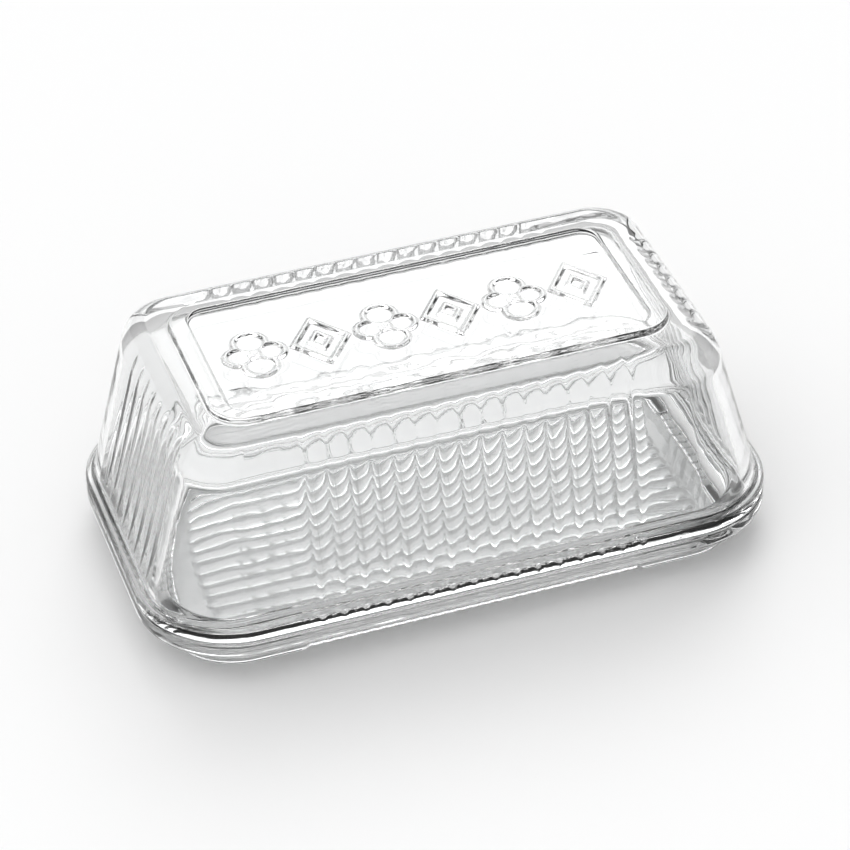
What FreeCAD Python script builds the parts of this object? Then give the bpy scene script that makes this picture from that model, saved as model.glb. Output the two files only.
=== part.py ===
import FreeCAD, Part
import math
import os

# Covered butter dish in clear pressed glass: a shallow base dish and a loaf-shaped lid that rests on
# its rim and lifts straight off. Millimetres, +X along the dish, +Z up, origin under the middle of the
# dish on the surface that it stands on.

# Rim, shared by both pieces
RIM_LENGTH = 170.0
RIM_WIDTH = 99.4
RIM_CORNER_R = 25.9
SEAT_GAP = 0.2

# Base dish
RIM_BOTTOM_Z = 8.0
RIM_TOP_Z = 13.4
RIM_UNDER_ROUND = 2.0
RIM_OVER_ROUND = 1.2
BODY_TOP_INSET = 5.0
FOOT_INSET = 7.6
FOOT_RING_WIDTH = 5.0
PAD_HEIGHT = 0.9
PAD_START_X = 46.5
PAD_START_Y = 17.0
UNDERSIDE_Z = 1.7
FLOOR_Z = 6.1
FLOOR_LENGTH = 149.0
FLOOR_WIDTH = 78.2
FLOOR_CORNER_R = 15.4
WELL_TOP_INSET = 9.9
CURB_TOP_Z = 14.9
CURB_CLEARANCE = 0.5
FLOOR_RIB_PITCH = 4.84
FLOOR_RIBS = 12
FLOOR_RIB_HEIGHT = 0.6
FLOOR_RIB_LENGTH = 132.0

# Lid walls, given by their outline at the shoulder and the slope of each pair of walls
SHOULDER_Z = 63.2
SHOULDER_LENGTH = 139.7
SHOULDER_WIDTH = 74.5
SHOULDER_CORNER_R = 10.9
SIDE_SLOPE = 0.186
END_SLOPE = 0.272
CORNER_R_SLOPE = 0.214
SHOULDER_ROUND = 6.5
WALL = 4.0

# The cavity's walls curve in to its ceiling along quarter ellipses, bigger on the sides than on the ends
CEILING_Z = 59.0
SIDE_CURVE_HEIGHT = 8.0
SIDE_CURVE_DEPTH = 11.0
END_CURVE_HEIGHT = 9.0
END_CURVE_DEPTH = 9.0
CURVE_STEPS = 8

# Lid flange
FLANGE_THICKNESS = 2.7
FLANGE_OVER_ROUND = 1.8
FLANGE_UNDER_ROUND = 0.6

# Upright ridges with hollow flutes between them, on the inside of the lid's walls. They swell from
# nothing over their feet, and end inside the glass above the curve to the ceiling. The tip is the rounded
# part of a ridge, as a share of its width.
RIDGE_PITCH = 5.77
RIDGE_HEIGHT = 0.55
RIDGE_TIP = 0.23
RIDGE_BED = 0.1
SIDE_RIDGES = 16
END_RIDGES = 8
SIDE_RIDGE_SHIFT = 1.6
RIDGE_BOTTOM_Z = 16.0
RIDGE_FOOT_LENGTH = 8.0
RIDGE_TOP_Z = 57.5

# How far the rows of ribs and ridges reach into the wall or floor that they stand on
RIB_ROOT = 0.6

# Raised plateau on the lid, the panel sunk in it and the raised ornament on the panel
PLATEAU_Z = 64.7
PLATEAU_LENGTH = 121.6
PLATEAU_WIDTH = 53.0
PLATEAU_CORNER_R = 9.0
PLATEAU_ROUND = 0.8
PANEL_Z = 63.6
PANEL_LENGTH = 111.6
PANEL_WIDTH = 45.9
PANEL_CORNER_R = 5.0
MOTIFS = 6
MOTIF_PITCH = 17.4
MOTIF_LINE = 1.8
MOTIF_RELIEF = 0.7
PETALS = ((0, 5.2, 4.2), (0, -5.2, 4.2), (4.2, 0, 3.6), (-4.2, 0, 3.6))
FLOWER_DOT_R = 1.9
LOZENGES = ((7.2, 9.6), (2.6, 3.6))

UP = FreeCAD.Vector(0, 0, 1)


def rounded_rectangle(length, width, corner_r, z):
    """A closed wire: a rectangle centred on the Z axis, with round corners."""
    x = length / 2 - corner_r
    y = width / 2 - corner_r
    edges = []
    for quarter, (centre_x, centre_y) in enumerate(((x, y), (-x, y), (-x, -y), (x, -y))):
        points = []
        for degrees in (0, 45, 90):
            angle = math.radians(90 * quarter + degrees)
            turn = FreeCAD.Vector(math.cos(angle), math.sin(angle), 0) * corner_r
            points.append(FreeCAD.Vector(centre_x, centre_y, z) + turn)
        corner = Part.Arc(*points)
        if edges:
            edges.append(Part.LineSegment(edges[-1].EndPoint, corner.StartPoint))
        edges.append(corner)
    edges.append(Part.LineSegment(edges[-1].EndPoint, edges[0].StartPoint))
    return Part.Wire([edge.toShape() for edge in edges])


def inset_rim(inset, z):
    """The rim's outline moved inwards by inset."""
    return rounded_rectangle(RIM_LENGTH - 2 * inset, RIM_WIDTH - 2 * inset, RIM_CORNER_R - inset, z)


def block(lower, upper):
    """The solid between two outlines, with straight sloping walls."""
    return Part.makeLoft([lower, upper], True, True)


def edges_at(shape, z):
    """The edges of a shape that lie flat at height z."""
    return [e for e in shape.Edges if abs(e.BoundBox.ZMin - z) < 0.01 and abs(e.BoundBox.ZMax - z) < 0.01]


def rounded_plate(inset, low_z, high_z, under_round, over_round):
    """A plate with the rim's outline, whose lower and upper edges are rounded."""
    plate = block(inset_rim(inset, low_z), inset_rim(inset, high_z))
    plate = plate.makeFillet(under_round, edges_at(plate, low_z))
    return plate.makeFillet(over_round, edges_at(plate, high_z))


def rib_points(count, pitch, height):
    """The points of a row of half-round ribs: the ends and the middle of each arc."""
    left = -count * pitch / 2
    return [FreeCAD.Vector(left + i * pitch / 2, height * (i % 2), 0) for i in range(2 * count + 1)]


def ridge_points(count, pitch, height):
    """The points of a row of rounded ridges with hollow flutes between them, all on a thin bed."""
    flank = (1 + RIDGE_TIP) / 2
    rise = 1 - RIDGE_TIP
    ridge = (
        (-1, 0),
        (-flank, rise / 4),
        (-RIDGE_TIP, rise),
        (0, 1),
        (RIDGE_TIP, rise),
        (flank, rise / 4),
    )
    points = []
    for i in range(count):
        middle = (i + 0.5 - count / 2) * pitch
        for x, y in ridge:
            points.append(FreeCAD.Vector(middle + x * pitch / 2, RIDGE_BED + y * height, 0))
    points.append(FreeCAD.Vector(count * pitch / 2, RIDGE_BED, 0))
    return points


def row_profile(points):
    """A closed wire in the XY plane: arcs through each three points along X, and a root below y = 0."""
    edges = [Part.Arc(*points[i:i + 3]) for i in range(0, len(points) - 2, 2)]
    right_root = FreeCAD.Vector(points[-1].x, -RIB_ROOT, 0)
    left_root = FreeCAD.Vector(points[0].x, -RIB_ROOT, 0)
    corners = [points[-1], right_root, left_root, points[0]]
    for start, end in zip(corners, corners[1:]):
        edges.append(Part.LineSegment(start, end))
    return Part.Wire([edge.toShape() for edge in edges])


def placed_row(row, origin, across, along):
    """Moves a row that was made along Z so that it starts at origin, runs along and is spread across."""
    row.Placement = FreeCAD.Placement(origin, FreeCAD.Rotation(across, along.cross(across), along, "ZXY"))
    return row


def wall_outline(z, inset=0.0):
    """The outline of the lid's outer wall at height z, or of its inner wall with an inset."""
    below = SHOULDER_Z - z
    return rounded_rectangle(
        SHOULDER_LENGTH + 2 * END_SLOPE * below - 2 * inset,
        SHOULDER_WIDTH + 2 * SIDE_SLOPE * below - 2 * inset,
        SHOULDER_CORNER_R + CORNER_R_SLOPE * below - inset,
        z,
    )


def cavity_outline(z):
    """The outline of the lid's cavity at height z."""
    def curve(height, depth):
        rise = max(z - CEILING_Z + height, 0) / height
        return depth * (1 - math.sqrt(1 - rise ** 2))

    below = SHOULDER_Z - z
    return rounded_rectangle(
        SHOULDER_LENGTH + 2 * (END_SLOPE * below - WALL - curve(END_CURVE_HEIGHT, END_CURVE_DEPTH)),
        SHOULDER_WIDTH + 2 * (SIDE_SLOPE * below - WALL - curve(SIDE_CURVE_HEIGHT, SIDE_CURVE_DEPTH)),
        SHOULDER_CORNER_R + CORNER_R_SLOPE * below - WALL,
        z,
    )


def lid_ridges():
    """The rows of ridges inside the lid's four walls. Those on the sides are a little off centre."""
    rows = []
    for half_length, slope, count, shift, outward in (
        (SHOULDER_WIDTH / 2, SIDE_SLOPE, SIDE_RIDGES, SIDE_RIDGE_SHIFT, FreeCAD.Vector(0, -1, 0)),
        (SHOULDER_WIDTH / 2, SIDE_SLOPE, SIDE_RIDGES, SIDE_RIDGE_SHIFT, FreeCAD.Vector(0, 1, 0)),
        (SHOULDER_LENGTH / 2, END_SLOPE, END_RIDGES, 0.0, FreeCAD.Vector(-1, 0, 0)),
        (SHOULDER_LENGTH / 2, END_SLOPE, END_RIDGES, 0.0, FreeCAD.Vector(1, 0, 0)),
    ):
        distance = half_length + slope * (SHOULDER_Z - RIDGE_BOTTOM_Z) - WALL
        start = outward * distance + FreeCAD.Vector(shift, 0, RIDGE_BOTTOM_Z)
        along = (UP - outward * slope).normalize()
        length = (RIDGE_TOP_Z - RIDGE_BOTTOM_Z) * math.hypot(1, slope)
        low = row_profile(ridge_points(count, RIDGE_PITCH, RIDGE_HEIGHT / 20))
        full = row_profile(ridge_points(count, RIDGE_PITCH, RIDGE_HEIGHT))
        full.translate(UP * RIDGE_FOOT_LENGTH)
        shaft = Part.Face(full).extrude(UP * (length - RIDGE_FOOT_LENGTH))
        row = shaft.fuse(Part.makeLoft([low, full], True, True))
        rows.append(placed_row(row, start, along.cross(outward), along))
    return rows


def flower_motif(centre):
    """A flower of the ornament: the outline of four overlapping petals, with a dot in the middle."""
    outlines = []
    for grow in (MOTIF_LINE / 2, -MOTIF_LINE / 2):
        discs = []
        for x, y, radius in PETALS:
            circle = Part.Circle(centre + FreeCAD.Vector(x, y, 0), UP, radius + grow)
            discs.append(Part.Face(Part.Wire(circle.toShape())))
        outlines.append(discs[0].fuse(discs[1:]))
    dot = Part.Face(Part.Wire(Part.Circle(centre, UP, FLOWER_DOT_R).toShape()))
    return outlines[0].cut(outlines[1]).fuse(dot)


def lozenge(centre, half_x, half_y, grow):
    """A flat lozenge whose sides are moved outwards by grow."""
    scale = 1 + grow * math.hypot(half_x, half_y) / (half_x * half_y)
    side = FreeCAD.Vector(half_x * scale, 0, 0)
    tip = FreeCAD.Vector(0, half_y * scale, 0)
    corners = [centre + side, centre + tip, centre - side, centre - tip]
    return Part.Face(Part.makePolygon(corners + corners[:1]))


def lozenge_motif(centre):
    """Two lozenge frames of the ornament, one inside the other."""
    frames = []
    for half_x, half_y in LOZENGES:
        outer = lozenge(centre, half_x, half_y, MOTIF_LINE / 2)
        frames.append(outer.cut(lozenge(centre, half_x, half_y, -MOTIF_LINE / 2)))
    return frames[0].fuse(frames[1])


def ornament():
    """The raised row of alternating flowers and lozenges on the lid's panel, sunk a little into it."""
    sunk = 0.3
    solids = []
    for i in range(MOTIFS):
        centre = FreeCAD.Vector((i - (MOTIFS - 1) / 2) * MOTIF_PITCH, 0, PANEL_Z - sunk)
        motif = lozenge_motif(centre) if i % 2 else flower_motif(centre)
        solids.append(motif.extrude(UP * (MOTIF_RELIEF + sunk)))
    return solids


def base_dish():
    """The shallow dish: a rounded rim on a body with corner pads, a ribbed well and a curb for the lid."""
    rim = rounded_plate(0.0, RIM_BOTTOM_Z, RIM_TOP_Z, RIM_UNDER_ROUND, RIM_OVER_ROUND)
    joint_z = (RIM_BOTTOM_Z + RIM_TOP_Z) / 2
    body = block(inset_rim(FOOT_INSET, 0), inset_rim(BODY_TOP_INSET, joint_z))
    # The curb stands inside the mouth of the lid, with its outer face parallel to the lid's inner wall.
    curb = block(
        wall_outline(joint_z, WALL + CURB_CLEARANCE),
        wall_outline(CURB_TOP_Z, WALL + CURB_CLEARANCE),
    )
    dish = rim.fuse([body, curb])
    well = block(
        rounded_rectangle(FLOOR_LENGTH, FLOOR_WIDTH, FLOOR_CORNER_R, FLOOR_Z),
        inset_rim(WELL_TOP_INSET, CURB_TOP_Z + 1),
    )
    underside = inset_rim(FOOT_INSET + FOOT_RING_WIDTH, 0)
    recess = Part.Face(underside).extrude(UP * UNDERSIDE_Z)
    gap_along = Part.makeBox(
        2 * PAD_START_X, RIM_WIDTH, PAD_HEIGHT, FreeCAD.Vector(-PAD_START_X, -RIM_WIDTH / 2, 0)
    )
    gap_across = Part.makeBox(
        RIM_LENGTH, 2 * PAD_START_Y, PAD_HEIGHT, FreeCAD.Vector(-RIM_LENGTH / 2, -PAD_START_Y, 0)
    )
    dish = dish.cut([well, recess, gap_along, gap_across])
    profile = row_profile(rib_points(FLOOR_RIBS, FLOOR_RIB_PITCH, FLOOR_RIB_HEIGHT))
    floor_ribs = Part.Face(profile).extrude(UP * FLOOR_RIB_LENGTH)
    end = FreeCAD.Vector(-FLOOR_RIB_LENGTH / 2, 0, FLOOR_Z)
    return dish.fuse(placed_row(floor_ribs, end, FreeCAD.Vector(0, 1, 0), FreeCAD.Vector(1, 0, 0)))


def lid():
    """The lid: a flange, drafted ribbed walls, a rounded shoulder and a framed panel on top."""
    flange_bottom = RIM_TOP_Z + SEAT_GAP
    flange = rounded_plate(
        0.0, flange_bottom, flange_bottom + FLANGE_THICKNESS, FLANGE_UNDER_ROUND, FLANGE_OVER_ROUND
    )
    joint_z = flange_bottom + FLANGE_THICKNESS / 2
    walls = block(wall_outline(joint_z), wall_outline(SHOULDER_Z))
    walls = walls.makeFillet(SHOULDER_ROUND, edges_at(walls, SHOULDER_Z))
    plateau = block(
        rounded_rectangle(PLATEAU_LENGTH, PLATEAU_WIDTH, PLATEAU_CORNER_R, CEILING_Z + 1),
        rounded_rectangle(PLATEAU_LENGTH, PLATEAU_WIDTH, PLATEAU_CORNER_R, PLATEAU_Z),
    )
    plateau = plateau.makeFillet(PLATEAU_ROUND, edges_at(plateau, PLATEAU_Z))
    panel = block(
        rounded_rectangle(PANEL_LENGTH, PANEL_WIDTH, PANEL_CORNER_R, PANEL_Z),
        rounded_rectangle(PANEL_LENGTH, PANEL_WIDTH, PANEL_CORNER_R, PLATEAU_Z + 1),
    )
    curve_height = max(SIDE_CURVE_HEIGHT, END_CURVE_HEIGHT)
    outlines = [cavity_outline(flange_bottom - 1)]
    for i in range(CURVE_STEPS + 1):
        outlines.append(
            cavity_outline(CEILING_Z - curve_height * (1 - math.sin(math.pi / 2 * i / CURVE_STEPS)))
        )
    cavity = Part.makeLoft(outlines, True, True)
    cover = walls.fuse([flange, plateau]).cut([panel, cavity])
    return cover.fuse(lid_ridges() + ornament())


def write(name, shape):
    """Writes one piece to parts/NAME.step, as its one solid."""
    solid = shape.removeSplitter().Solids[0]
    solid.exportStep(os.path.join("parts", name + ".step"))
    print(name, "solids", len(shape.Solids), "valid", solid.isValid(), "volume mm3", round(solid.Volume))


os.makedirs("parts", exist_ok=True)
write("base_dish", base_dish())
write("lid", lid())
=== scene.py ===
import math

import bpy
import numpy as np
from mathutils import Matrix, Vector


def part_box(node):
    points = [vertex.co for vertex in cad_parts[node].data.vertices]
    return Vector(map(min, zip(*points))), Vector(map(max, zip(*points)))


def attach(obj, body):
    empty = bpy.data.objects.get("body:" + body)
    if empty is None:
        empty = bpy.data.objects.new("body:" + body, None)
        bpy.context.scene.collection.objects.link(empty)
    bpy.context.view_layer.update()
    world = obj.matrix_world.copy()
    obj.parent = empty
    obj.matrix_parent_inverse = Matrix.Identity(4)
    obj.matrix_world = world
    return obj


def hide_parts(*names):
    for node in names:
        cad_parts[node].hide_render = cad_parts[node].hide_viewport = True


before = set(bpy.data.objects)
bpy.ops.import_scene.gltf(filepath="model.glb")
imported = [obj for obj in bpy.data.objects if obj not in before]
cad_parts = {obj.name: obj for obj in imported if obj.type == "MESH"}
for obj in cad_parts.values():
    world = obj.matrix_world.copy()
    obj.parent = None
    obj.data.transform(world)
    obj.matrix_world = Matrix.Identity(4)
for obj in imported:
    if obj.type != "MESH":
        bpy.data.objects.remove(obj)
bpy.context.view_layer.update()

# A pressed-glass butter dish. Both pieces are rebuilt as smooth closed meshes from stacks of rounded
# rectangles. Lengths are in millimetres up to the last step, which makes each mesh in metres.
MM = 0.001

# From the frame
DISH_HIGH = np.array(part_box("base_dish")[1]) / MM
LID_LOW, LID_HIGH = (np.array(corner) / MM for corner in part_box("lid"))
RIM_X = DISH_HIGH[0]
RIM_Y = DISH_HIGH[1]
CURB_TOP_Z = DISH_HIGH[2]
SEAT_Z = LID_LOW[2]
TOP_Z = LID_HIGH[2]

# Base dish. Both pieces share its rim.
RIM_R = 25.9
RIM_TOP_Z = SEAT_Z - 0.2
RIM_BOTTOM_Z = 8.0
BODY_TOP_INSET = 5.0
FOOT_INSET = 7.6
FOOT_RING_WIDTH = 5.0
UNDERSIDE_Z = 1.7
PAD_HEIGHT = 0.9
PAD_START_X = 46.5
PAD_START_Y = 17.0
PAD_RAMP = 1.6
KNURL_PITCH = 3.3
KNURL_HEIGHT = 0.22
FOOT_FADE_Z = 2.5
FLOOR_Z = 6.1
FLOOR_X = 74.5
FLOOR_Y = 39.1
FLOOR_R = 15.4
WELL_TOP_INSET = 9.9
FLOOR_RIB_PITCH = 4.84
FLOOR_RIBS = 12
FLOOR_RIB_HEIGHT = 0.6
FLOOR_RIB_END_X = 66.0
CURB_CLEARANCE = 0.5

# Lid walls: their outline at the shoulder, and how fast it grows below that
SHOULDER_Z = 63.2
SHOULDER_X = 69.85
SHOULDER_Y = 37.25
SHOULDER_R = 10.9
END_SLOPE = 0.272
SIDE_SLOPE = 0.186
CORNER_R_SLOPE = 0.214
WALL = 4.0
CEILING_Z = 59.0
FLANGE_TOP_Z = SEAT_Z + 2.7

# How the lid's inner walls curve in to the ceiling: height and depth of a quarter ellipse
SIDE_REACH = 8.0
SIDE_DEPTH = 11.0
END_REACH = 9.0
END_DEPTH = 9.0

# The least corner radius of the inner walls
LEAST_R = 5.0

# How far the shoulder's rounding reaches down the wall and in along the ledge
WALL_REACH = 7.0
LEDGE_REACH = 4.5

# Upright ridges with hollow flutes between them, inside the lid
RIDGE_PITCH = 5.77
RIDGE_SHIFT = 1.6
RIDGE_HEIGHT = 0.55
RIDGE_TIP = 0.23
SIDE_RIDGES = 16
END_RIDGES = 8
RIDGE_BOTTOM_Z = 16.0
RIDGE_FOOT = 11.0
SIDE_RIDGE_TOP_Z = 60.0
END_RIDGE_TOP_Z = 56.0
RIDGE_FADE = 2.0

# Plateau, panel and ornament
PLATEAU_X = 60.8
PLATEAU_Y = 26.5
PLATEAU_R = 9.0
PANEL_Z = TOP_Z - 1.1
PANEL_X = 55.8
PANEL_Y = 22.95
PANEL_R = 5.0
MOTIFS = 6
MOTIF_PITCH = 17.4
MOTIF_LINE = 1.8
MOTIF_RELIEF = 0.7
PETALS = ((0, 5.2, 4.2), (0, -5.2, 4.2), (4.2, 0, 3.6), (-4.2, 0, 3.6))
DOT_R = 1.0
LOZENGES = ((7.2, 9.6), (2.6, 3.6))
ORNAMENT_X = 53.0
ORNAMENT_Y = 12.5

# Shallow waves in the glass: how many to the metre, and how high
WAVE_SCALE = 60
WAVE_HEIGHT = 0.00022

# Studio: the table's white, the dome's brightness at three heights and as a whole, and the soft lights in
# the dome (azimuth, elevation, radius of the full part, radius of the whole, strength; angles in degrees)
TABLE_COLOR = 0.9
HORIZON = 0.6
MIDDLE = 0.8
MIDDLE_Z = 0.35
ZENITH = 1.0
DOME = 0.66
LIGHTS = ((66, 46, 4, 24, 5.0), (252.4, 35, 10, 60, 0.6), (150, 60, 20, 50, 1.0))

# How finely the meshes are divided
CORNER_STEPS = 18
ROUND_STEPS = 6
RIB_STEPS = 16
FOOT_STEPS = 12
WALL_STEPS = 5
CEILING_STEPS = 24
GRID_STEP = 0.33

# The view: its direction in degrees, how far off it is and what it is centred on, in metres
CAMERA_ANGLES = (-17.6, 36.87, 1.95)
CAMERA_DISTANCE = 0.9175
CAMERA_TARGET = (0, 0, 0.03)
CAMERA_SHIFT = (0.00089, -0.00014)
LENS = 148.6


class Surface:
    """Points and faces of one closed mesh. Rings run anticlockwise seen from above."""

    def __init__(self):
        self.points = []
        self.faces = []
        self.count = 0

    def add(self, points):
        """Adds points and returns their numbers."""
        self.points.append(points)
        numbers = np.arange(self.count, self.count + len(points))
        self.count += len(points)
        return numbers

    def strip(self, ring_a, ring_b):
        """Quads between two rings with equally many points."""
        next_a = np.roll(ring_a, -1)
        next_b = np.roll(ring_b, -1)
        self.faces += np.stack([ring_a, ring_b, next_b, next_a], 1).tolist()

    def stitch(self, ring_a, ring_b):
        """Triangles between two rings with any number of points, matched by their direction from the axis."""
        where = np.concatenate(self.points)
        order = []
        for ring in (ring_a, ring_b):
            angle = np.arctan2(where[ring, 1], where[ring, 0])
            start = int(np.argmin(angle))
            angle = np.roll(angle, -start)
            angles = np.append(angle, angle[0] + 2 * math.pi)
            order.append((np.append(np.roll(ring, -start), ring[start]), angles))
        (a, angle_a), (b, angle_b) = order
        i = j = 0
        while i < len(a) - 1 or j < len(b) - 1:
            if j == len(b) - 1 or (i < len(a) - 1 and angle_a[i + 1] <= angle_b[j + 1]):
                self.faces.append([int(a[i]), int(b[j]), int(a[i + 1])])
                i += 1
            else:
                self.faces.append([int(a[i]), int(b[j]), int(b[j + 1])])
                j += 1

    def patch(self, xs, ys, height, upward):
        """A grid over a rectangle with z = height(x, y). Returns its edge as a ring."""
        x, y = np.meshgrid(xs, ys, indexing="ij")
        numbers = self.add(np.stack([x, y, height(x, y)], -1).reshape(-1, 3)).reshape(x.shape)
        quads = np.stack([numbers[:-1, :-1], numbers[1:, :-1], numbers[1:, 1:], numbers[:-1, 1:]], -1)
        quads = quads.reshape(-1, 4)
        self.faces += (quads if upward else quads[:, ::-1]).tolist()
        return np.concatenate(
            [numbers[-1, :-1], numbers[::-1, -1][:-1], numbers[0, ::-1][:-1], numbers[:-1, 0]]
        )

    def mesh(self, name):
        """The Blender object, in metres, with normals weighted by face area so that flats stay flat."""
        points = np.concatenate(self.points) * MM
        data = bpy.data.meshes.new(name)
        data.from_pydata(points.tolist(), [], self.faces)
        data.polygons.foreach_set("use_smooth", [True] * len(data.polygons))
        normals = np.zeros_like(points)
        for size in (3, 4):
            corners = np.array([f for f in self.faces if len(f) == size], int).reshape(-1, size)
            p = points[corners]
            diagonals = (p[:, 2] - p[:, 0], p[:, 3 % size] - p[:, 1])
            area = np.cross(*diagonals)
            for k in range(size):
                np.add.at(normals, corners[:, k], area)
        normals /= np.linalg.norm(normals, axis=1)[:, None]
        data.validate()
        data.normals_split_custom_set_from_vertices(normals.tolist())
        piece = bpy.data.objects.new(name, data)
        bpy.context.scene.collection.objects.link(piece)
        return piece


def stations(half, fixed, spare):
    """Places along a straight side from -half to half: the fixed ones, and spare steps out to each end.

    On a side that is too short for the fixed ones they move closer together.
    """
    fixed = fixed * min(1, 0.98 * half / np.abs(fixed).max())
    low = np.linspace(-half, fixed[0], spare + 1)[:-1]
    high = np.linspace(fixed[-1], half, spare + 1)[1:]
    return np.concatenate([low, fixed, high])


def outline(section, fixed_x, fixed_y, spare):
    """The points of a rounded rectangle (half length, half width, corner radius, z), anticlockwise."""
    half_x, half_y, radius, z = section
    flat_x = stations(half_x - radius, fixed_x, spare)
    flat_y = stations(half_y - radius, fixed_y, spare)
    turn = np.linspace(0, math.pi / 2, CORNER_STEPS + 1)[1:-1]
    cos, sin = radius * np.cos(turn), radius * np.sin(turn)
    centre_x, centre_y = half_x - radius, half_y - radius
    full = np.ones_like
    x = [half_x * full(flat_y), centre_x + cos, flat_x[::-1], -centre_x - sin]
    y = [flat_y, centre_y + sin, half_y * full(flat_x), centre_y + cos]
    x += [-half_x * full(flat_y), -centre_x - cos, flat_x, centre_x + sin]
    y += [flat_y[::-1], -centre_y - sin, -half_y * full(flat_x), -centre_y - cos]
    x, y = np.concatenate(x), np.concatenate(y)
    return np.stack([x, y, z * full(x)], 1)


def rounded(corners):
    """Sections along a profile with rounded corners, each (section, reach before, reach after)."""
    sections = []
    for i, (corner, before, after) in enumerate(corners):
        corner = np.array(corner, float)
        if not before and not after:
            sections.append(corner)
            continue
        ends = []
        for other, reach in ((corners[i - 1][0], before), (corners[(i + 1) % len(corners)][0], after)):
            way = np.array(other, float) - corner
            length = (math.hypot(way[0], way[3]) + math.hypot(way[1], way[3])) / 2
            ends.append(corner + way * (reach / length))
        for t in np.linspace(0, 1, ROUND_STEPS + 1):
            weights = np.array([(1 - t) ** 2, 1.5 * t * (1 - t), t ** 2])
            sections.append(weights @ np.array([ends[0], corner, ends[1]]) / weights.sum())
    return sections


def smooth(t):
    """0 below 0, 1 above 1 and an even S between."""
    t = np.clip(t, 0, 1)
    return t * t * (3 - 2 * t)


def rib_row(place, pitch, count):
    """Height from 0 to 1 over a row of half-round ribs centred on 0."""
    phase = place / pitch + count / 2
    bow = 1 - (2 * (phase % 1) - 1) ** 2
    return np.where((phase >= 0) & (phase <= count), bow, 0)


def ridge_row(place, count, z, top_z):
    """How far a row of ridges centred on 0, with hollow flutes between, stands off the wall at height z."""
    phase = place / RIDGE_PITCH + count / 2
    off_tip = np.abs(2 * (phase % 1) - 1)
    round_tip = 1 - off_tip ** 2 / RIDGE_TIP
    flank = (1 - off_tip) ** 2 / (1 - RIDGE_TIP)
    rise = np.where(off_tip < RIDGE_TIP, round_tip, flank) * ((phase >= 0) & (phase <= count))
    below_foot = max(1 - (z - RIDGE_BOTTOM_Z) / RIDGE_FOOT, 0)
    return RIDGE_HEIGHT * np.maximum(rise - below_foot ** 2, 0) * smooth((top_z - z) / RIDGE_FADE)


def rib_stations(pitch, count):
    """Places that sample each rib evenly, from the row's one end to its other."""
    return np.linspace(-count * pitch / 2, count * pitch / 2, count * RIB_STEPS + 1)


def wall(z, inset=0.0):
    """The section of the lid's outer wall at height z, moved inwards by inset."""
    below = SHOULDER_Z - z
    return (
        SHOULDER_X + END_SLOPE * below - inset,
        SHOULDER_Y + SIDE_SLOPE * below - inset,
        max(SHOULDER_R + CORNER_R_SLOPE * below - inset, LEAST_R),
        z,
    )


def cavity(z):
    """The section of the lid's inner wall at height z, which curves in to the ceiling."""
    half_x, half_y, radius, z = wall(z, WALL)

    def swell(reach, depth):
        rise = np.clip((z - CEILING_Z + reach) / reach, 0, 1)
        return depth * (1 - math.sqrt(1 - rise ** 2))

    return half_x - swell(END_REACH, END_DEPTH), half_y - swell(SIDE_REACH, SIDE_DEPTH), radius, z


def rim(inset, z):
    """The section of the shared rim moved inwards by inset."""
    return (RIM_X - inset, RIM_Y - inset, RIM_R - inset, z)


def raised_line(distance):
    """Height from 0 to 1 of a rounded raised line, by distance from its middle."""
    t = np.clip(np.abs(distance) / (MOTIF_LINE / 2), 0, 1)
    return (1 - t ** 2) ** 1.2


def flower(x, y):
    """Distance from the edge of four overlapping petals."""
    return np.min([np.hypot(x - px, y - py) - r for px, py, r in PETALS], axis=0)


def lozenge(x, y, half_x, half_y):
    """Distance from the edge of a lozenge."""
    return (np.abs(x) * half_y + np.abs(y) * half_x - half_x * half_y) / math.hypot(half_x, half_y)


def ornament(x, y):
    """Height of the panel with its raised row of flowers and lozenges."""
    height = np.zeros_like(x)
    for i in range(MOTIFS):
        local = x - (i - (MOTIFS - 1) / 2) * MOTIF_PITCH
        if i % 2:
            lines = [lozenge(local, y, half_x, half_y) for half_x, half_y in LOZENGES]
        else:
            lines = (flower(local, y), np.hypot(local, y) - DOT_R)
        for line in lines:
            height = np.maximum(height, raised_line(line))
    return PANEL_Z + MOTIF_RELIEF * height


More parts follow.
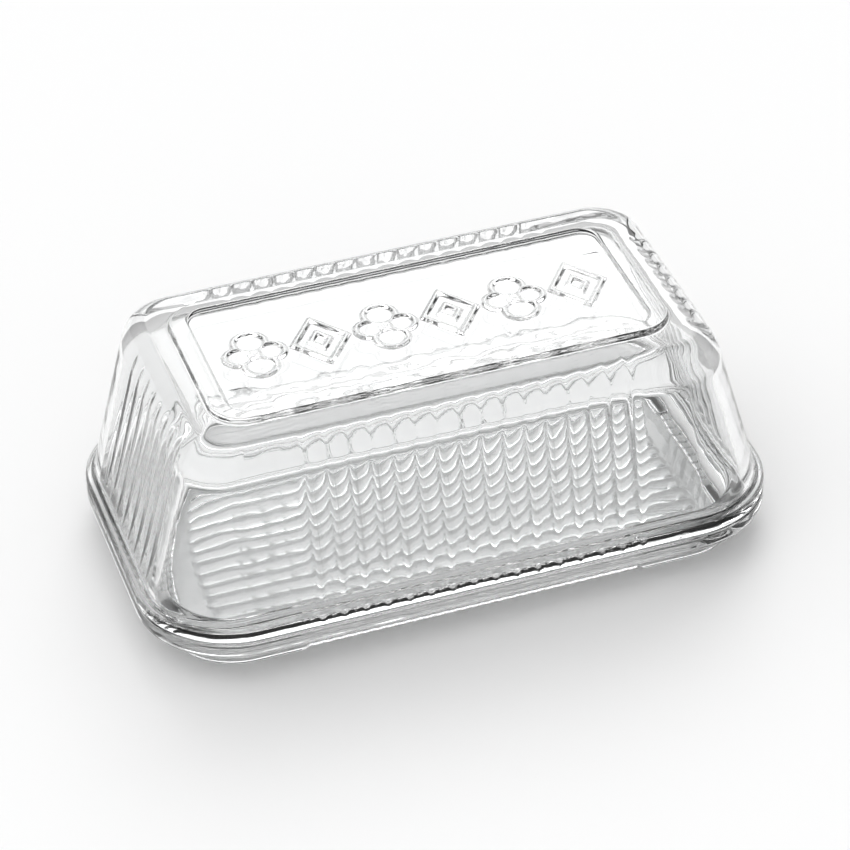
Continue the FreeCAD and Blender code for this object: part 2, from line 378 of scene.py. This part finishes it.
def lid():
    """The lid's outer skin from the panel down to its seat, then its inner skin up to the ceiling."""
    surface = Surface()
    count_x = round(2 * ORNAMENT_X / GRID_STEP)
    count_y = round(2 * ORNAMENT_Y / GRID_STEP)
    edge = surface.patch(
        np.linspace(-ORNAMENT_X, ORNAMENT_X, count_x + 1),
        np.linspace(-ORNAMENT_Y, ORNAMENT_Y, count_y + 1),
        ornament,
        True,
    )
    outer = rounded([
        ((PANEL_X - 1.5, PANEL_Y - 1.5, PANEL_R - 1.5, PANEL_Z), 0, 0),
        ((PANEL_X, PANEL_Y, PANEL_R, PANEL_Z), 0.5, 0.5),
        ((PANEL_X + 0.3, PANEL_Y + 0.3, PANEL_R + 0.3, TOP_Z), 0.5, 0.5),
        ((PLATEAU_X, PLATEAU_Y, PLATEAU_R, TOP_Z), 0.7, 0.65),
        ((PLATEAU_X + 0.4, PLATEAU_Y + 0.4, PLATEAU_R + 0.4, SHOULDER_Z), 0.65, 0.7),
        (wall(SHOULDER_Z), LEDGE_REACH, WALL_REACH),
        (wall(FLANGE_TOP_Z), 2.4, 1.1),
        (rim(0, FLANGE_TOP_Z), 1.2, 1.7),
        (rim(0, SEAT_Z), 0.5, 0.5),
        (rim(2, SEAT_Z), 0, 0),
    ])[:-1]
    fixed_x = np.linspace(-50, 50, 51)
    fixed_y = np.linspace(-14, 14, 15)
    rings = [surface.add(outline(s, fixed_x, fixed_y, 3)) for s in outer]
    surface.stitch(edge, rings[0])
    for ring_a, ring_b in zip(rings, rings[1:]):
        surface.strip(ring_a, ring_b)

    ridge_x = rib_stations(RIDGE_PITCH, SIDE_RIDGES) + RIDGE_SHIFT
    ridge_y = rib_stations(RIDGE_PITCH, END_RIDGES)
    feet = np.linspace(RIDGE_BOTTOM_Z, RIDGE_BOTTOM_Z + RIDGE_FOOT, FOOT_STEPS)
    curve_z = CEILING_Z - max(SIDE_REACH, END_REACH)
    straight = np.linspace(feet[-1] + 1, curve_z - 1, WALL_STEPS)
    turn = np.linspace(0, math.pi / 2, CEILING_STEPS + 1)
    curve = curve_z + (CEILING_Z - curve_z) * np.sin(turn)
    mouth = rounded([
        (rim(2, SEAT_Z), 0, 0),
        (wall(SEAT_Z, WALL), 0.6, 0.6),
        (cavity(feet[0]), 0, 0),
    ])[1:-1]
    inner = mouth + [cavity(z) for z in (*feet, *straight, *curve)]
    inner_rings = []
    for section in inner:
        points = outline(section, ridge_x, ridge_y, 6)
        z = section[3]
        x, y = points[:, 0], points[:, 1]
        on_side = np.abs(np.abs(y) - section[1]) < 1e-6
        on_end = np.abs(np.abs(x) - section[0]) < 1e-6
        side_rise = ridge_row(x[on_side] - RIDGE_SHIFT, SIDE_RIDGES, z, SIDE_RIDGE_TOP_Z)
        end_rise = ridge_row(y[on_end], END_RIDGES, z, END_RIDGE_TOP_Z)
        y[on_side] -= np.sign(y[on_side]) * side_rise
        x[on_end] -= np.sign(x[on_end]) * end_rise
        inner_rings.append(surface.add(points))
    surface.stitch(rings[-1], inner_rings[0])
    for ring_a, ring_b in zip(inner_rings, inner_rings[1:]):
        surface.strip(ring_a, ring_b)
    ceiling = surface.patch(
        np.linspace(-40, 40, 26), np.linspace(-14, 14, 11), lambda x, y: 0 * x + CEILING_Z, False
    )
    surface.stitch(inner_rings[-1], ceiling)
    return surface.mesh("glass_lid")


def foot_lift(x, y):
    """How far the foot ring stands off the table: not at the corner pads, and knurled between them."""
    along = smooth((PAD_START_X - np.abs(x)) / PAD_RAMP)
    across = smooth((PAD_START_Y - np.abs(y)) / PAD_RAMP)
    between = np.maximum(along, across)
    place = np.where(along > across, x, y)
    knurl = 0.5 + 0.5 * np.cos(2 * math.pi * place / KNURL_PITCH)
    return between * (PAD_HEIGHT - KNURL_HEIGHT * knurl)


def floor_height(x, y):
    """Height of the well's floor with its lengthwise ribs, which fade at their ends."""
    ends = smooth((FLOOR_RIB_END_X - np.abs(x)) / 2.0)
    return FLOOR_Z + FLOOR_RIB_HEIGHT * ends * rib_row(y, FLOOR_RIB_PITCH, FLOOR_RIBS)


def base_dish():
    """The base's skin from the middle of its underside out over the foot and rim and down into the well."""
    surface = Surface()
    rib_end = np.linspace(-FLOOR_RIB_END_X - 0.5, -FLOOR_RIB_END_X + 3.5, 11)
    floor_x = np.concatenate([rib_end, np.linspace(-60, 60, 31), -rib_end[::-1]])
    floor = surface.patch(floor_x, rib_stations(FLOOR_RIB_PITCH, FLOOR_RIBS), floor_height, True)
    profile = rounded([
        ((FLOOR_X - 1.5, FLOOR_Y - 1.5, FLOOR_R - 1.5, FLOOR_Z), 0, 0),
        ((FLOOR_X, FLOOR_Y, FLOOR_R, FLOOR_Z), 1.4, 1.4),
        (rim(WELL_TOP_INSET, CURB_TOP_Z), 0.9, 0.9),
        (wall(CURB_TOP_Z, WALL + CURB_CLEARANCE), 0.9, 0.6),
        (wall(RIM_TOP_Z, WALL + CURB_CLEARANCE), 0.5, 0.5),
        (rim(0, RIM_TOP_Z), 1.1, 1.1),
        (rim(0, RIM_BOTTOM_Z), 1.8, 1.8),
        (rim(BODY_TOP_INSET, RIM_BOTTOM_Z), 1.2, 1.6),
        (rim(FOOT_INSET, 0), 1.0, 1.0),
        (rim(FOOT_INSET + FOOT_RING_WIDTH - 0.5, 0), 0.7, 0.7),
        (rim(FOOT_INSET + FOOT_RING_WIDTH, UNDERSIDE_Z), 0.6, 0.6),
        (rim(FOOT_INSET + FOOT_RING_WIDTH + 3, UNDERSIDE_Z), 0, 0),
    ])
    fixed_x = np.linspace(-48.4, 48.4, 175)
    fixed_y = np.linspace(-18, 18, 61)
    rings = []
    for section in profile:
        points = outline(section, fixed_x, fixed_y, 2)
        if section[3] < UNDERSIDE_Z - 0.1:
            # The foot ring. Its gaps and knurls fade upwards.
            low = smooth((FOOT_FADE_Z - section[3]) / FOOT_FADE_Z)
            points[:, 2] += low * foot_lift(points[:, 0], points[:, 1])
        rings.append(surface.add(points))
    surface.stitch(floor, rings[0])
    for ring_a, ring_b in zip(rings, rings[1:]):
        surface.strip(ring_a, ring_b)
    middle = surface.patch(
        np.linspace(-55, 55, 12), np.linspace(-22, 22, 6), lambda x, y: 0 * x + UNDERSIDE_Z, False
    )
    surface.stitch(rings[-1], middle)
    return surface.mesh("glass_base_dish")


def clear_glass(name):
    """Clear pressed glass: smooth, faintly grey, with the shallow waves that a mould leaves."""
    material = bpy.data.materials.new(name)
    material.use_nodes = True
    nodes, links = material.node_tree.nodes, material.node_tree.links
    shader = nodes["Principled BSDF"]
    shader.inputs["Base Color"].default_value = (0.97, 0.975, 0.975, 1)
    shader.inputs["Transmission Weight"].default_value = 1
    shader.inputs["IOR"].default_value = 1.5
    shader.inputs["Roughness"].default_value = 0
    place = nodes.new("ShaderNodeTexCoord")
    waves = nodes.new("ShaderNodeTexNoise")
    waves.inputs["Scale"].default_value = WAVE_SCALE
    waves.inputs["Detail"].default_value = 2
    bump = nodes.new("ShaderNodeBump")
    bump.inputs["Distance"].default_value = WAVE_HEIGHT
    links.new(place.outputs["Object"], waves.inputs["Vector"])
    links.new(waves.outputs["Fac"], bump.inputs["Height"])
    links.new(bump.outputs["Normal"], shader.inputs["Normal"])
    return material


def studio():
    """A white table under a soft dome that darkens towards the horizon, with broad soft lights in it."""
    scene = bpy.context.scene
    bpy.ops.mesh.primitive_plane_add(size=6)
    floor = bpy.context.object
    floor.name = "studio_floor"
    paint = bpy.data.materials.new("studio_white")
    paint.use_nodes = True
    shader = paint.node_tree.nodes["Principled BSDF"]
    shader.inputs["Base Color"].default_value = (TABLE_COLOR, TABLE_COLOR, TABLE_COLOR, 1)
    shader.inputs["Roughness"].default_value = 1
    floor.data.materials.append(paint)

    world = bpy.data.worlds.new("soft_dome")
    scene.world = world
    world.use_nodes = True
    nodes, links = world.node_tree.nodes, world.node_tree.links
    place = nodes.new("ShaderNodeTexCoord")
    parts = nodes.new("ShaderNodeSeparateXYZ")
    ramp = nodes.new("ShaderNodeValToRGB")
    links.new(place.outputs["Generated"], parts.inputs[0])
    links.new(parts.outputs["Z"], ramp.inputs["Fac"])
    stops = ramp.color_ramp.elements
    stops[0].position, stops[0].color = 0.0, (HORIZON, HORIZON, HORIZON, 1)
    stops[1].position, stops[1].color = 1.0, (ZENITH, ZENITH, ZENITH, 1)
    middle = stops.new(MIDDLE_Z)
    middle.color = (MIDDLE, MIDDLE, MIDDLE, 1)
    nodes["Background"].inputs["Strength"].default_value = DOME

    sky = ramp.outputs["Color"]
    for azimuth, elevation, inner, outer, strength in LIGHTS:
        azimuth, elevation = math.radians(azimuth), math.radians(elevation)
        toward = nodes.new("ShaderNodeVectorMath")
        toward.operation = "DOT_PRODUCT"
        toward.inputs[1].default_value = (
            math.cos(azimuth) * math.cos(elevation),
            math.sin(azimuth) * math.cos(elevation),
            math.sin(elevation),
        )
        links.new(place.outputs["Generated"], toward.inputs[0])
        edge = nodes.new("ShaderNodeMapRange")
        edge.interpolation_type = "SMOOTHSTEP"
        edge.inputs["From Min"].default_value = math.cos(math.radians(outer))
        edge.inputs["From Max"].default_value = math.cos(math.radians(inner))
        edge.inputs["To Min"].default_value = 0
        edge.inputs["To Max"].default_value = strength
        links.new(toward.outputs["Value"], edge.inputs["Value"])
        both = nodes.new("ShaderNodeVectorMath")
        both.operation = "ADD"
        links.new(sky, both.inputs[0])
        links.new(edge.outputs["Result"], both.inputs[1])
        sky = both.outputs["Vector"]
    links.new(sky, nodes["Background"].inputs["Color"])


def camera():
    """The view: from the left front, from above, through a long lens."""
    azimuth, elevation, roll = (math.radians(angle) for angle in CAMERA_ANGLES)
    back = np.array([
        math.sin(azimuth) * math.cos(elevation),
        -math.cos(azimuth) * math.cos(elevation),
        math.sin(elevation),
    ])
    right = np.array([math.cos(azimuth), math.sin(azimuth), 0])
    up = np.cross(back, right)
    rolled_right = math.cos(roll) * right - math.sin(roll) * up
    rolled_up = math.sin(roll) * right + math.cos(roll) * up
    place = np.array(CAMERA_TARGET) + back * CAMERA_DISTANCE + CAMERA_SHIFT[0] * right + CAMERA_SHIFT[1] * up
    data = bpy.data.cameras.new("view")
    data.lens = LENS
    data.sensor_width = 36
    eye = bpy.data.objects.new("view", data)
    matrix = np.eye(4)
    matrix[:3, 0], matrix[:3, 1], matrix[:3, 2], matrix[:3, 3] = rolled_right, rolled_up, back, place
    eye.matrix_world = Matrix(matrix.tolist())
    bpy.context.scene.collection.objects.link(eye)
    bpy.context.scene.camera = eye


for build, body, node in ((base_dish, "base", "base_dish"), (lid, "lid", "lid")):
    piece = build()
    piece.data.materials.append(clear_glass("clear_glass_" + body))
    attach(piece, body)
    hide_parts(node)
studio()
camera()
scene = bpy.context.scene
scene.view_settings.view_transform = "Standard"
scene.cycles.max_bounces = 32
scene.cycles.transmission_bounces = 32
scene.cycles.glossy_bounces = 8
scene.cycles.diffuse_bounces = 3
scene.cycles.use_denoising = True
